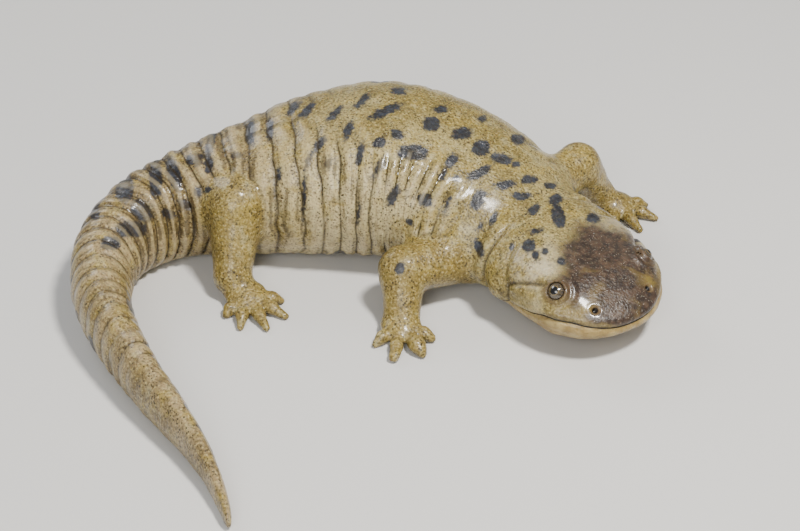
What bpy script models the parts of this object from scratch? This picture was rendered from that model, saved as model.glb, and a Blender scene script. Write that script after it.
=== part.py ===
"""A life-size museum model of a tiger salamander, lying in a curved pose on a flat floor.

Lengths are in millimetres until a mesh is made, when they become metres. A place on the animal is
given as (along, side, height): along is measured on the spine from the snout to the tail's tip, side
is positive on the animal's left, and height is above the floor. The back, flanks and tail are one
tube of sections along the spine, parted by thin cuts. Each limb is a few rounded cones and digits,
joined, then parted at its joints and cut clear of the body.
"""

import bmesh
import bpy
import numpy as np
from mathutils import Matrix, Vector

MM = 0.001
GAP = 0.3  # between pieces that touch
BODY_CLEARANCE = 0.42  # how far the limbs' roots are cut back from the body's own surface

SNOUT_TO_VENT = 100.0
TOTAL_LENGTH = 186.0
HEAD_LENGTH = 28.0
SPINE_STEP = 0.25

# The spine's bends: (distance from the snout, direction the animal faces there in degrees).
FACING = (
    (0, -56), (18, -56), (32, -48), (46, -30), (59, -5), (72, 8), (86, 11), (97, 22),
    (107, 49), (118, 83), (129, 104), (142, 117), (160, 123), (186, 104),
)

# The body's outline: (distance from the snout, half width, top, underside, squareness of the section).
OUTLINE = (
    (0, 11.0, 10.8, 2.9, 2.4), (5, 11.8, 12.2, 2.4, 2.5), (10, 12.6, 13.5, 2.0, 2.5),
    (19, 13.6, 15.2, 1.6, 2.4), (26, 13.6, 16.4, 1.3, 2.2), (28.4, 12.8, 16.6, 0.8, 2.2),
    (34, 14.6, 19.4, 0, 2.2), (46, 17.4, 24.2, -0.5, 2.2), (60, 18.2, 27.5, -0.6, 2.2),
    (74, 15.8, 25.6, -0.6, 2.2), (88, 11.2, 21.4, -0.5, 2.2), (100, 8.2, 18.4, -0.4, 2.1),
    (114, 6.3, 15.4, -0.4, 2.0), (140, 4.0, 12.0, -0.4, 1.9), (166, 2.2, 8.0, -0.3, 1.9),
    (186, 0.5, 2.6, 0, 2.0),
)

SNOUT_ROUNDING = 10.5  # length over which the snout closes to its tip
SNOUT_BLUNTNESS = 2.15
SNOUT_HEIGHT = 6.9

MOUTH_TIP_HEIGHT = 7.7
MOUTH_CORNER = (17.5, 7.0)  # (along, height)
THROAT_POINT = (24.0, -2.0)  # where the jaw's rear cut leaves the throat
JAW_BLOCK = (12.0, 20.0)  # how far the block that parts the jaws reaches ahead, and to each side
LIP_SWELL = 0.3
LIP_REACH = 1.3

EYE_RADIUS = 1.9
EYE_PLACE = (9.4, 9.05, 11.3)
EYE_GAZE = (0.22, 0.70, 0.68)  # forward, outward, up
LID_RADIUS = 1.75
LID_THICKNESS = 0.5
LID_SETBACK = 0.66  # the lid's ring lies this far behind the front of the eye
BROW_RADIUS = 3.0
BROW_SETBACK = 2.12  # and the middle of the brow's bulge this far behind the middle of the eye

NOSTRIL_PLACE = (3.3, 5.8, 10.1)
NOSTRIL_AIM = (0.55, 0.45, 0.70)
NOSTRIL_RADIUS = 0.55
NOSTRIL_RIM = 0.35
NOSTRIL_DEPTH = 1.2

# Grooves between the muscle folds: first and last place along the spine, how many, and depth.
FLANK_FOLDS = (38.5, 92.5, 15, 0.6)
TAIL_FOLDS = (95.8, 159.8, 21, 0.4)
FOLD_WIDTH = 0.85
FOLD_REACH = (1.25, 1.1, 3)  # how the grooves fade over the back's ridge and the belly
FOLD_SECTIONS = (-0.5, -0.2, 0.0, 0.2)  # sections round each groove, in shares of the folds' spacing

BODY_SIDES = 32
TAIL_SIDES = 18
HEAD_SIDES = 40
HEAD_STEP = 1.4
PLAIN_STEP = 3.4
SNOUT_SECTIONS = 8
TAIL_ROUNDING = 0.6  # how far the tail's rounded end goes past its last section

# Lengths of spine that become nodes.
BODY_NODES = (
    ("head", 0.0, 28.0), ("neck", 28.0, 36.0), ("torso_front", 36.0, 56.0),
    ("torso_middle", 56.0, 76.0), ("torso_rear", 76.0, 98.0), ("tail_base", 98.0, 122.0),
    ("tail_middle", 122.0, 152.0), ("tail_tip", 152.0, 186.0),
)

# Digits: (angle from the limb's own heading in degrees, length from the palm's centre).
FINGERS = ((-58, 6.6), (-20, 8.8), (16, 8.6), (52, 6.6))
TOES = ((-64, 6.2), (-32, 8.6), (-2, 9.8), (28, 9.2), (60, 6.8))
DIGIT_RADIUS = (1.25, 0.95, 0.62)  # at root, bend and tip
DIGIT_ROOT = 0.35  # share of the palm's half width where a digit starts
DIGIT_BEND = (0.45, 0.42)  # shares of the palm's half width and of the digit's length to its bend
DIGIT_ARCH = 0.4
DIGIT_SINK = 0.08  # how far its underside would reach below the floor, and so is flattened

# Each limb: root in the body, elbow or knee, wrist or ankle, palm; the radii at the first three;
# the palm's half width, the heading of the hand in the world, and its digits.
LIMBS = {
    "front_right": {
        "names": ("upper_arm", "forearm", "hand"),
        "places": ((34, -10, 7.0), (41, -22.8, 8.0), (34.5, -26.5, 3.2), (31.2, -28.6, 1.6)),
        "radii": (4.7, 4.3, 2.8), "palm": 3.5, "heading": -78, "digits": FINGERS,
    },
    "front_left": {
        "names": ("upper_arm", "forearm", "hand"),
        "places": ((36, 10, 10.0), (35.5, 20.5, 11.3), (34.6, 24.8, 4.2), (32.6, 27.0, 1.6)),
        "radii": (4.4, 3.9, 2.7), "palm": 3.4, "heading": -40, "digits": FINGERS,
    },
    "rear_right": {
        "names": ("thigh", "shin", "foot"),
        "places": ((93, -3, 9.5), (88.5, -9.8, 13.8), (91.5, -17, 3.8), (89, -20.5, 1.6)),
        "radii": (5.6, 5.0, 3.0), "palm": 3.7, "heading": -62, "digits": TOES,
    },
    "rear_left": {
        "names": ("thigh", "shin", "foot"),
        "places": ((93, 3, 9.0), (89, 13.5, 8.8), (94, 18.5, 3.8), (94.5, 21.8, 1.6)),
        "radii": (5.4, 4.7, 3.0), "palm": 3.7, "heading": 62, "digits": TOES,
    },
}
LIMB_SIDES = 14
DIGIT_SIDES = 6
PALM_THICKNESS = 1.9
PALM_LENGTH = 0.95  # as a share of its width
NEXT_LENGTH = 0.96  # how much thinner the next length starts than the last one ends
HEEL_REACH = 0.6  # how far the heel goes past the palm's middle
BLOCK_SIZE = 90.0  # of the blocks that part the limbs at their joints
END_TURNS = (0.98, 0.5)  # where a round end's rings lie, in radians from its rim
SHARP_ANGLE = 40  # edges that turn by more than this many degrees stay sharp

# Finishes: (colour, roughness, metallic).
FINISHES = {
    "skin": ((0.30, 0.25, 0.11), 0.42, 0.0),
    "throat": ((0.46, 0.38, 0.20), 0.42, 0.0),
    "eye": ((0.05, 0.04, 0.02), 0.08, 0.0),
}


def smooth_through(table, column):
    """A function of distance that passes through a table's rows without overshooting between them."""
    x = np.array([row[0] for row in table], float)
    y = np.array([row[column] for row in table], float)
    step = np.diff(x)
    rise = np.diff(y) / step
    slope = np.zeros_like(y)
    slope[0] = rise[0]
    slope[-1] = rise[-1]
    before = 2 * step[1:] + step[:-1]
    after = step[1:] + 2 * step[:-1]
    same_way = rise[:-1] * rise[1:] > 0
    safe = np.where(same_way, rise[:-1], 1.0), np.where(same_way, rise[1:], 1.0)
    slope[1:-1] = np.where(same_way, (before + after) / (before / safe[0] + after / safe[1]), 0.0)

    def value(at):
        at = np.clip(at, x[0], x[-1])
        i = np.clip(np.searchsorted(x, at, side="right") - 1, 0, len(x) - 2)
        t = (at - x[i]) / step[i]
        ends = (1 + 2 * t) * (1 - t) ** 2 * y[i] + t * t * (3 - 2 * t) * y[i + 1]
        return ends + step[i] * (t * (1 - t) ** 2 * slope[i] + t * t * (t - 1) * slope[i + 1])

    return value


facing_at = smooth_through(FACING, 1)
half_width_at = smooth_through(OUTLINE, 1)
top_at = smooth_through(OUTLINE, 2)
underside_at = smooth_through(OUTLINE, 3)
squareness_at = smooth_through(OUTLINE, 4)


def spine_line():
    """The spine seen from above, from the snout's tip at the origin: distances, x and y."""
    along = np.arange(0, TOTAL_LENGTH + SPINE_STEP / 2, SPINE_STEP)
    angle = np.radians(facing_at(along))
    back_x, back_y = -np.cos(angle), -np.sin(angle)
    x = np.concatenate([[0], np.cumsum((back_x[1:] + back_x[:-1]) / 2 * SPINE_STEP)])
    y = np.concatenate([[0], np.cumsum((back_y[1:] + back_y[:-1]) / 2 * SPINE_STEP)])
    return along, x, y


SPINE = spine_line()


def axes_at(along):
    """The spine's point, and the unit vectors forwards and to the animal's left, all seen from above."""
    angle = np.radians(float(facing_at(along)))
    point = np.array([np.interp(along, SPINE[0], SPINE[1]), np.interp(along, SPINE[0], SPINE[2]), 0])
    forward = np.array([np.cos(angle), np.sin(angle), 0])
    left = np.array([-np.sin(angle), np.cos(angle), 0])
    return point, forward, left


def place(along, side, height):
    """A place on the animal as a point in the world, in millimetres."""
    point, _, left = axes_at(along)
    return point + side * left + np.array([0, 0, height])


def direction(along, forward_out_up, side_sign):
    """A direction given as forward, outward and up, turned into the world."""
    _, forward, left = axes_at(along)
    ahead, out, up = forward_out_up
    way = ahead * forward + side_sign * out * left + np.array([0, 0, up])
    return way / np.linalg.norm(way)


def fold_places(folds):
    first, last, count, _ = folds
    return np.linspace(first, last, count)


def fold_depth(along, angle):
    """Depth of the grooves between muscle folds, fading out over the back's ridge and the belly."""
    depth = np.zeros_like(angle)
    full, loss, power = FOLD_REACH
    flank = np.clip(full - loss * np.abs(np.sin(angle)) ** power, 0, 1)
    for folds in (FLANK_FOLDS, TAIL_FOLDS):
        near = np.exp(-(((along - fold_places(folds)) / FOLD_WIDTH) ** 2)).sum()
        depth = depth + folds[3] * near * flank
    return depth


def mouth_height(along):
    corner_along, corner_height = MOUTH_CORNER
    share = min(along / corner_along, 1.0)
    return MOUTH_TIP_HEIGHT + share * (corner_height - MOUTH_TIP_HEIGHT)


def section(along, sides, grow=0.0):
    """Points round the body at one distance: a superellipse, closed towards the snout, flat on the floor."""
    angle = np.linspace(0, 2 * np.pi, sides, endpoint=False)
    closing = 1.0
    if along < SNOUT_ROUNDING:
        ahead = (SNOUT_ROUNDING - along) / SNOUT_ROUNDING
        closing = max(0.0, 1 - ahead**SNOUT_BLUNTNESS) ** (1 / SNOUT_BLUNTNESS)
    power = 2 / float(squareness_at(along))
    cosine, sine = np.cos(angle), np.sin(angle)
    side = float(half_width_at(along)) * closing * np.sign(cosine) * np.abs(cosine) ** power
    top, underside = float(top_at(along)), float(underside_at(along))
    middle = (top + underside) / 2
    rise = (top - underside) / 2 * closing * np.sign(sine) * np.abs(sine) ** power
    middle = SNOUT_HEIGHT + closing * (middle - SNOUT_HEIGHT)
    distance = np.maximum(np.hypot(side, rise), 0.01)
    swell = grow - fold_depth(along, angle)
    if along < MOUTH_CORNER[0]:
        from_lips = (middle + rise - mouth_height(along)) / LIP_REACH
        swell = swell + LIP_SWELL * closing * np.exp(-(from_lips**2))
    scale = 1 + swell / distance
    height = middle + rise * scale
    if grow == 0:
        height = np.maximum(height, 0)
    point, _, left = axes_at(along)
    ring = point + (side * scale)[:, None] * left
    ring[:, 2] = height
    return ring


def body_stations(start, end):
    """Distances for the sections of one node: closer at the snout, and following each groove."""
    stations = {start, end}
    if start < SNOUT_ROUNDING:
        turns = np.linspace(0, np.pi / 2, SNOUT_SECTIONS + 1)[1:]
        stations |= set(start + (SNOUT_ROUNDING - start) * (1 - np.cos(turns)))
        stations |= set(np.arange(SNOUT_ROUNDING, end - HEAD_STEP / 2, HEAD_STEP))
        stations.discard(start)
    elif end <= FLANK_FOLDS[0] or start >= TAIL_FOLDS[1]:
        stations |= set(np.linspace(start, end, int(np.ceil((end - start) / PLAIN_STEP)) + 1))
    else:
        for folds in (FLANK_FOLDS, TAIL_FOLDS):
            places = fold_places(folds)
            spacing = places[1] - places[0]
            for share in FOLD_SECTIONS:
                stations |= {float(at) for at in places + share * spacing if start < at < end}
    ordered = sorted(stations)
    kept = [ordered[0]]
    for at in ordered[1:-1]:
        if at - kept[-1] > GAP and end - at > GAP:
            kept.append(at)
    return kept + [ordered[-1]]


def mesh_object(name, points, faces):
    """A named mesh object from points in millimetres, its faces turned outwards."""
    mesh = bpy.data.meshes.new(name)
    mesh.from_pydata([tuple(p * MM) for p in points], [], faces)
    work = bmesh.new()
    work.from_mesh(mesh)
    bmesh.ops.recalc_face_normals(work, faces=work.faces)
    work.to_mesh(mesh)
    work.free()
    obj = bpy.data.objects.new(name, mesh)
    bpy.context.scene.collection.objects.link(obj)
    return obj


def loft(name, rings, start_tip=None, end_tip=None):
    """A closed body through rings of equally many points. An end closes flat, or to a tip."""
    sides = len(rings[0])
    points = list(np.concatenate(rings))
    faces = []
    for i in range(len(rings) - 1):
        for j in range(sides):
            k = (j + 1) % sides
            a, b = i * sides, (i + 1) * sides
            faces.append((a + j, a + k, b + k, b + j))
    last = (len(rings) - 1) * sides
    for tip, first in ((start_tip, 0), (end_tip, last)):
        if tip is None:
            faces.append(tuple(range(first, first + sides)))
            continue
        points.append(np.array(tip, float))
        for j in range(sides):
            faces.append((first + j, first + (j + 1) % sides, len(points) - 1))
    return mesh_object(name, points, faces)


def body_length(name, start, end, sides):
    """The body between two distances. At the snout and the tail's tip it closes to a point."""
    rings = [section(at, sides) for at in body_stations(start, end)]
    snout = None
    if start < GAP:
        snout = place(0, 0, SNOUT_HEIGHT)
    tail = None
    if end >= TOTAL_LENGTH - GAP:
        tail = place(TOTAL_LENGTH, 0, float(top_at(TOTAL_LENGTH)) / 2)
        tail = tail - TAIL_ROUNDING * axes_at(TOTAL_LENGTH)[1]
    return loft(name, rings, snout, tail)


def body_cutter():
    """The trunk a little larger than it is, through the same sections, to cut the limbs' roots back with."""
    stations = sorted({at for _, start, end in BODY_NODES[1:-2] for at in body_stations(start, end)})
    return loft("body_cut", [section(at, BODY_SIDES, BODY_CLEARANCE) for at in stations])


def crosswise(way):
    """Two unit vectors square to a direction and to each other."""
    helper = np.array([0, 0, 1.0]) if abs(way[2]) < 0.9 else np.array([1.0, 0, 0])
    first = np.cross(way, helper)
    first /= np.linalg.norm(first)
    return first, np.cross(way, first)


def circle(centre, way, radius, sides, flatten=1.0):
    first, second = crosswise(way)
    turn = np.linspace(0, 2 * np.pi, sides, endpoint=False)[:, None]
    return centre + radius * (np.cos(turn) * first + flatten * np.sin(turn) * second)


def rounded_tube(name, path, radii, sides):
    """A tube along a path of points with a radius at each, closed by a round end at both ends."""
    path = [np.array(p, float) for p in path]
    ways = [later - earlier for earlier, later in zip([path[0]] + path[:-1], path[1:] + [path[-1]])]
    ways = [way / np.linalg.norm(way) for way in ways]
    rings = []
    for turn in END_TURNS:
        centre = path[0] - ways[0] * radii[0] * np.sin(turn)
        rings.append(circle(centre, ways[0], radii[0] * np.cos(turn), sides))
    for centre, way, radius in zip(path, ways, radii):
        rings.append(circle(centre, way, radius, sides))
    for turn in END_TURNS[::-1]:
        centre = path[-1] + ways[-1] * radii[-1] * np.sin(turn)
        rings.append(circle(centre, ways[-1], radii[-1] * np.cos(turn), sides))
    return loft(name, rings, path[0] - ways[0] * radii[0], path[-1] + ways[-1] * radii[-1])


def ball(name, centre, radius, squash=(1, 1, 1), turn=0.0, segments=14):
    """A sphere, or an ellipsoid turned about the vertical."""
    mesh = bpy.data.meshes.new(name)
    work = bmesh.new()
    bmesh.ops.create_uvsphere(work, u_segments=segments, v_segments=segments // 2 + 2, radius=radius * MM)
    bmesh.ops.scale(work, vec=Vector(squash), verts=work.verts)
    bmesh.ops.rotate(work, matrix=Matrix.Rotation(turn, 3, "Z"), verts=work.verts)
    bmesh.ops.translate(work, vec=Vector(centre * MM), verts=work.verts)
    work.to_mesh(mesh)
    work.free()
    obj = bpy.data.objects.new(name, mesh)
    bpy.context.scene.collection.objects.link(obj)
    return obj


def ring_of(name, centre, way, radius, thickness, around=18, through=8):
    """A round ring, such as an eyelid's rim, lying square to a direction."""
    first, second = crosswise(way)
    points = []
    faces = []
    for i in range(around):
        turn = 2 * np.pi * i / around
        out = np.cos(turn) * first + np.sin(turn) * second
        for j in range(through):
            roll = 2 * np.pi * j / through
            points.append(centre + out * (radius + thickness * np.cos(roll)) + way * thickness * np.sin(roll))
            a, b = i * through, (i + 1) % around * through
            k = (j + 1) % through
            faces.append((a + j, a + k, b + k, b + j))
    return mesh_object(name, points, faces)


def half_space(name, point, way):
    """A large block whose near face passes through a point and which fills the side that way points to."""
    first, second = crosswise(way)
    corners = []
    for depth in (0, BLOCK_SIZE):
        for a, b in ((-1, -1), (1, -1), (1, 1), (-1, 1)):
            corners.append(point + way * depth + BLOCK_SIZE / 2 * (a * first + b * second))
    faces = [(0, 1, 2, 3), (4, 5, 6, 7)]
    faces += [(i, (i + 1) % 4, 4 + (i + 1) % 4, 4 + i) for i in range(4)]
    return mesh_object(name, corners, faces)


def bake_modifiers(obj):
    graph = bpy.context.evaluated_depsgraph_get()
    mesh = bpy.data.meshes.new_from_object(obj.evaluated_get(graph))
    obj.modifiers.clear()
    obj.data = mesh


def combine(obj, others, operation):
    """Adds, cuts or intersects closed objects, which are then removed."""
    group = bpy.data.collections.new("combined")
    bpy.context.scene.collection.children.link(group)
    for other in others:
        bpy.context.scene.collection.objects.unlink(other)
        group.objects.link(other)
    modifier = obj.modifiers.new("combine", "BOOLEAN")
    modifier.operation = operation
    modifier.operand_type = "COLLECTION"
    modifier.collection = group
    modifier.solver = "EXACT"
    bake_modifiers(obj)
    for other in others:
        bpy.data.objects.remove(other)
    bpy.data.collections.remove(group)
    return obj


def rest_on_floor(obj):
    """Flattens what would reach below the floor."""
    for vert in obj.data.vertices:
        vert.co.z = max(vert.co.z, 0)


def surface_of(verts):
    faces = {face for vert in verts for face in vert.link_faces}
    return sum(face.calc_area() for face in faces)


def keep_largest(obj):
    """Keeps only the largest closed surface, and drops any scrap that a cut has left."""
    work = bmesh.new()
    work.from_mesh(obj.data)
    left = set(work.verts)
    islands = []
    while left:
        reached = {left.pop()}
        front = list(reached)
        while front:
            vert = front.pop()
            for edge in vert.link_edges:
                other = edge.other_vert(vert)
                if other not in reached:
                    reached.add(other)
                    front.append(other)
        left -= reached
        islands.append(reached)
    if len(islands) > 1:
        largest = max(islands, key=surface_of)
        gone = [v for island in islands if island is not largest for v in island]
        bmesh.ops.delete(work, geom=gone, context="VERTS")
    work.to_mesh(obj.data)
    work.free()
    return obj


def jaw_prism(name, offset):
    """The block below the mouth line and ahead of the jaw's rear cut, moved by an offset to part the two jaws."""
    point, forward, left = axes_at(0)
    up = np.array([0, 0, 1.0])
    ahead, reach = JAW_BLOCK
    profile = (
        (-ahead, MOUTH_TIP_HEIGHT + offset),
        (0.0, MOUTH_TIP_HEIGHT + offset),
        (MOUTH_CORNER[0] + offset, MOUTH_CORNER[1] + offset),
        (THROAT_POINT[0] + offset, THROAT_POINT[1]),
        (-ahead, THROAT_POINT[1]),
    )
    points = []
    for side in (-reach, reach):
        points += [point - along * forward + side * left + height * up for along, height in profile]
    count = len(profile)
    faces = [tuple(range(count)), tuple(range(count, 2 * count))]
    faces += [(i, (i + 1) % count, count + (i + 1) % count, count + i) for i in range(count)]
    return mesh_object(name, points, faces)


def build_head():
    """The head with lids, brows and nostrils, parted from the lower jaw along the mouth, and the two eyes."""
    end = HEAD_LENGTH - GAP / 2
    head = body_length("head", 0, end, HEAD_SIDES)
    jaw = body_length("lower_jaw", 0, end, HEAD_SIDES)
    added = []
    removed = [jaw_prism("jaw_cut", GAP / 2)]
    nodes = [head, jaw]
    for label, sign in (("left", 1), ("right", -1)):
        along, side, height = EYE_PLACE
        eye = place(along, sign * side, height)
        gaze = direction(along, EYE_GAZE, sign)
        rim = eye + gaze * (EYE_RADIUS - LID_SETBACK)
        added.append(ball("brow", eye - gaze * BROW_SETBACK, BROW_RADIUS))
        added.append(ring_of("lid", rim, gaze, LID_RADIUS, LID_THICKNESS))
        removed.append(ball("socket", eye, EYE_RADIUS + GAP, segments=20))
        nodes.append(ball("eye_" + label, eye, EYE_RADIUS))
        along, side, height = NOSTRIL_PLACE
        nostril = place(along, sign * side, height)
        aim = direction(along, NOSTRIL_AIM, sign)
        added.append(ring_of("nostril_rim", nostril, aim, NOSTRIL_RADIUS + NOSTRIL_RIM / 2, NOSTRIL_RIM, 12, 6))
        hole = (nostril - aim * NOSTRIL_DEPTH, nostril + aim * NOSTRIL_DEPTH)
        removed.append(rounded_tube("nostril_hole", hole, (NOSTRIL_RADIUS * 0.7, NOSTRIL_RADIUS), 10))
    combine(head, added, "UNION")
    combine(head, removed, "DIFFERENCE")
    combine(jaw, [jaw_prism("jaw_keep", -GAP / 2)], "INTERSECT")
    return [keep_largest(obj) for obj in nodes]


def build_trunk_and_tail():
    nodes = []
    for name, start, end in BODY_NODES[1:]:
        sides = TAIL_SIDES if start >= SNOUT_TO_VENT - 5 else BODY_SIDES
        last = TOTAL_LENGTH if end == TOTAL_LENGTH else end - GAP / 2
        nodes.append(body_length(name, start + GAP / 2, last, sides))
    return nodes


def digits_of(limb, palm):
    """Each digit as one tapering tube, arched a little, with its pad on the floor."""
    digits = []
    base, knuckle, tip = DIGIT_RADIUS
    for turn, length in limb["digits"]:
        angle = np.radians(limb["heading"] + turn)
        way = np.array([np.cos(angle), np.sin(angle), 0])
        to_bend = limb["palm"] * DIGIT_BEND[0] + length * DIGIT_BEND[1]
        points = [palm + way * reach for reach in (limb["palm"] * DIGIT_ROOT, to_bend, length - tip)]
        for point, height in zip(points, (base, knuckle + DIGIT_ARCH, tip)):
            point[2] = height - DIGIT_SINK
        digits.append(rounded_tube("digit", points, DIGIT_RADIUS, DIGIT_SIDES))
    return digits


def build_limb(limb, side_name):
    """One limb as three nodes, parted where its two lengths and its palm meet."""
    root, joint, wrist, palm = [place(*p) for p in limb["places"]]
    root_radius, joint_radius, wrist_radius = limb["radii"]
    heading = np.radians(limb["heading"])
    ahead = np.array([np.cos(heading), np.sin(heading), 0])

    def upper():
        return rounded_tube("upper", (root, joint), (root_radius, joint_radius), LIMB_SIDES)

    def lower():
        return rounded_tube("lower", (joint, wrist), (joint_radius * NEXT_LENGTH, wrist_radius), LIMB_SIDES)

    def pad():
        squash = (PALM_LENGTH, 1.0, PALM_THICKNESS / limb["palm"])
        return ball("palm", palm, limb["palm"], squash, heading)

    def heel():
        radii = (wrist_radius * NEXT_LENGTH, PALM_THICKNESS * NEXT_LENGTH)
        return rounded_tube("heel", (wrist, palm + ahead * HEEL_REACH), radii, LIMB_SIDES)

    upper_way = (joint - root) / np.linalg.norm(joint - root)
    lower_way = (wrist - joint) / np.linalg.norm(wrist - joint)
    heel_way = (palm - wrist) / np.linalg.norm(palm - wrist)
    elbow_way = (upper_way + lower_way) / np.linalg.norm(upper_way + lower_way)
    wrist_way = (lower_way + heel_way) / np.linalg.norm(lower_way + heel_way)
    recipes = (
        ([upper(), lower()], [(joint, elbow_way)]),
        ([lower(), upper(), heel()], [(joint, -elbow_way), (wrist, wrist_way)]),
        ([pad(), heel(), lower(), *digits_of(limb, palm)], [(wrist, -wrist_way)]),
    )
    nodes = []
    for label, (pieces, cuts) in zip(limb["names"], recipes):
        node = pieces[0]
        node.name = f"{label}_{side_name}"
        combine(node, pieces[1:], "UNION")
        rest_on_floor(node)
        blocks = [half_space("cut", at + way * -GAP / 2, way) for at, way in cuts]
        combine(node, [body_cutter()] + blocks, "DIFFERENCE")
        nodes.append(keep_largest(node))
    return nodes


def finish(nodes):
    """Colours each node, shades it smooth, and moves the animal so that its box is centred on the origin."""
    low = np.full(3, np.inf)
    high = np.full(3, -np.inf)
    materials = {}
    for name, (colour, roughness, metallic) in FINISHES.items():
        material = bpy.data.materials.new(name)
        material.use_nodes = True
        shader = material.node_tree.nodes["Principled BSDF"]
        shader.inputs["Base Color"].default_value = (*colour, 1)
        shader.inputs["Roughness"].default_value = roughness
        shader.inputs["Metallic"].default_value = metallic
        materials[name] = material
    for obj in nodes:
        finish_name = "skin"
        if obj.name.startswith("eye"):
            finish_name = "eye"
        elif obj.name == "lower_jaw":
            finish_name = "throat"
        obj.data.materials.clear()
        obj.data.materials.append(materials[finish_name])
        corners = np.array([v.co for v in obj.data.vertices])
        low = np.minimum(low, corners.min(0))
        high = np.maximum(high, corners.max(0))
    centre = (low + high) / 2
    for obj in nodes:
        obj.data.transform(Matrix.Translation((-centre[0], -centre[1], -low[2])))
        obj.data.shade_smooth()
        obj.data.set_sharp_from_angle(angle=np.radians(SHARP_ANGLE))


def main():
    for obj in list(bpy.data.objects):
        bpy.data.objects.remove(obj)
    nodes = build_head() + build_trunk_and_tail()
    for key, limb in LIMBS.items():
        nodes += build_limb(limb, key.split("_")[1])
    finish(nodes)


main()
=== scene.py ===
"""Dresses the life-size tiger salamander: one seamless damp skin, two eyes, a plain floor, soft light.

The skin is the zero level of a distance that blends trunk, head, limbs, toes and lids. Folds, lips and
pores are then pushed in along the surface's own direction. Lengths are in millimetres inside the
shape functions and become metres when a mesh is made. A place on the animal is (along, side, height):
along the spine from the snout, to the animal's left, and above the floor.
"""

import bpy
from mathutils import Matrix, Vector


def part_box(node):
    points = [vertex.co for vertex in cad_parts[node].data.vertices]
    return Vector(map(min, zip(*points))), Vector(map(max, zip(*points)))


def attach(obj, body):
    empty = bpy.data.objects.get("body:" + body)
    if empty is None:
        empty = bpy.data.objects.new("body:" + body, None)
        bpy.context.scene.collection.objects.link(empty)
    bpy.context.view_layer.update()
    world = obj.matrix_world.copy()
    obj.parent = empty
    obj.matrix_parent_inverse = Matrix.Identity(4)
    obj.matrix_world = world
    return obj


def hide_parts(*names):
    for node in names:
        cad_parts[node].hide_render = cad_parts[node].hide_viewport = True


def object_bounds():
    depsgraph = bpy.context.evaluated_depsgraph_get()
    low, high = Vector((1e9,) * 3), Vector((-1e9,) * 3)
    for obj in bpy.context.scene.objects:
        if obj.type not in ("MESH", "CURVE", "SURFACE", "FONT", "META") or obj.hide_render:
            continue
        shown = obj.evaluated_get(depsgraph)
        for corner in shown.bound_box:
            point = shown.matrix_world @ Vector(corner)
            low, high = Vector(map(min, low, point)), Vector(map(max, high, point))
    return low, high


bl_info = {
    "name": "Tiger Salamander",
    "version": (1, 0, 0),
    "blender": (4, 5, 0),
    "location": "View3D > Sidebar > Salamander",
    "description": "Builds the skin, eyes and stage of a life-size tiger salamander",
    "category": "Object",
}

import math

import bpy
import numpy as np
from bpy.props import FloatProperty, FloatVectorProperty, IntProperty, PointerProperty
from mathutils import Vector
from mathutils.bvhtree import BVHTree

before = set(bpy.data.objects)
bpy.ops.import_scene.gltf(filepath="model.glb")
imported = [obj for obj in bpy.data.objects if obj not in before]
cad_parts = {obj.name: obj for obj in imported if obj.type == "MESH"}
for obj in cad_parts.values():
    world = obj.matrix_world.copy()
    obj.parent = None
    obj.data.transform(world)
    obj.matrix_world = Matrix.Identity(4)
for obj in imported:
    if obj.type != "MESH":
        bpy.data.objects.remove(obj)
CAD_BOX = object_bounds()

MM = 0.001
TOTAL_LENGTH = 186.0
EYE_RADIUS = 1.9
EYE_PLACE = (9.4, 9.05, 11.3)
EYE_GAZE = (0.22, 0.70, 0.68)  # forward, outward, up
LID_OPENING = 1.42
LID_THICKNESS = 0.42
LID_STRETCH = 1.12  # how much longer than high the opening between the lids is
LID_SET = (0.26, 0.30)  # how far the lid's rim lies outside the opening, and behind its plane
BROW = (1.9, 3.0, 1.6)  # how deep under the eye the brow's ball lies, its radius, its blend
EYE_SLACK = 0.03  # between the eyeball and the hollow that it lies in

# The spine's bends: (distance from the snout, direction the animal faces there in degrees).
FACING = (
    (0, -56), (18, -56), (32, -48), (46, -30), (59, -5), (72, 8), (86, 11), (97, 22),
    (107, 49), (118, 83), (129, 104), (142, 117), (160, 123), (186, 104),
)

# The body's outline: (distance from the snout, half width, top, underside, squareness of the section).
OUTLINE = (
    (0, 11.0, 10.8, 2.9, 2.4), (5, 11.8, 12.2, 2.4, 2.5), (10, 12.6, 13.5, 2.0, 2.5),
    (19, 13.6, 15.2, 1.6, 2.4), (26, 13.6, 16.4, 1.3, 2.2), (28.4, 12.8, 16.6, 0.8, 2.2),
    (34, 14.6, 19.4, 0, 2.2), (46, 17.4, 24.2, -0.5, 2.2), (60, 18.2, 27.5, -0.6, 2.2),
    (74, 15.8, 25.6, -0.6, 2.2), (88, 11.2, 21.4, -0.5, 2.2), (100, 8.2, 18.4, -0.4, 2.1),
    (114, 6.3, 15.4, -0.4, 2.0), (140, 4.0, 12.0, -0.4, 1.9), (166, 2.2, 8.0, -0.3, 1.9),
    (186, 0.5, 2.6, 0, 2.0),
)
SNOUT_ROUNDING = 10.5
SNOUT_BLUNTNESS = 2.15
TAIL_ROUNDING = 1.6
SPINE_BEYOND = 16.0  # how far the spine's line runs on straight past both ends
POINTS_AT_ONCE = 40000  # keeps the search along the spine small in memory

NOSTRIL_PLACE = (3.3, 5.8, 10.1)

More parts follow.
